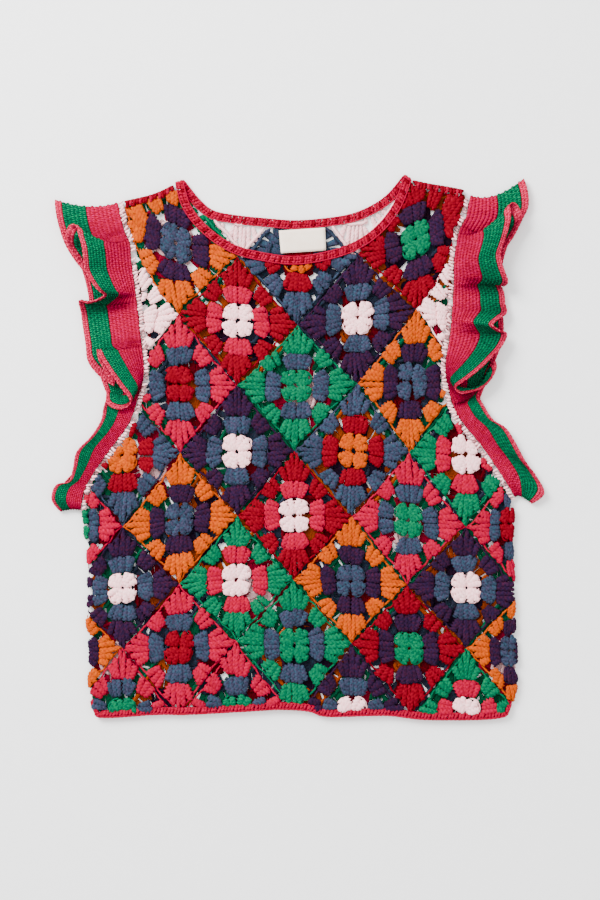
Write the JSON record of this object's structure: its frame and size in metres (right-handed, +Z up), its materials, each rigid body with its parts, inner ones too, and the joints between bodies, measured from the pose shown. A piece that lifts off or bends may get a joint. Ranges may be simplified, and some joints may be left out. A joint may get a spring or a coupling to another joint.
{
  "type": "crochet top",
  "caption": "Sleeveless patchwork top of crocheted squares set on point, laid flat, with a round banded neck and a pleated, striped ruffle at each armhole",
  "frame": {"origin": "under the middle of the garment as it lies, on the surface it lies on", "axes": "+X to the viewer's right as the garment is seen from above, +Y from the hem to the neck, +Z up from the surface, so the front faces +Z"},
  "size_m": [0.49, 0.5438, 0.0218],
  "materials": {
    "crimson": "matte cotton yarn, crocheted",
    "pink": "matte cotton yarn, crocheted",
    "rose": "matte cotton yarn, crocheted",
    "cream": "matte cotton yarn, crocheted",
    "orange": "matte cotton yarn, crocheted",
    "navy": "matte cotton yarn, crocheted",
    "slate": "matte cotton yarn, crocheted",
    "green": "matte cotton yarn, crocheted",
    "label": "smooth woven tape"
  },
  "bodies": {
    "root": {"armhole_edging_left": "cream", "armhole_edging_right": "cream", "armhole_fill_left": "cream", "armhole_fill_right": "cream", "back_patchwork": "navy", "front_square_a2": "orange", "front_square_a4": "slate", "front_square_a6": "crimson", "front_square_b3": "crimson", "front_square_b5": "navy", "front_square_c2": "pink", "front_square_c4": "green", "front_square_c6": "orange", "front_square_d1": "slate", "front_square_d3": "navy", "front_square_d5": "slate", "front_square_d7": "green", "front_square_e0": "pink", "front_square_e2": "orange", "front_square_e4": "crimson", "front_square_e6": "pink", "front_square_e8": "pink", "front_square_f1": "navy", "front_square_f3": "green", "front_square_f5": "orange", "front_square_f7": "navy", "front_square_g0": "orange", "front_square_g2": "pink", "front_square_g4": "green", "front_square_g6": "crimson", "front_square_g8": "orange", "front_square_h1": "pink", "front_square_h3": "pink", "front_square_h5": "navy", "front_square_h7": "green", "hem_band": "pink", "neck_label": "label", "neckband_back": "crimson", "neckband_front": "crimson", "ruffle_left_base": "pink", "ruffle_left_edge": "rose", "ruffle_left_stripe": "green", "ruffle_right_base": "pink", "ruffle_right_edge": "rose", "ruffle_right_stripe": "green", "shoulder_join_left": "crimson", "shoulder_join_right": "crimson"}
  },
  "joints": []
}
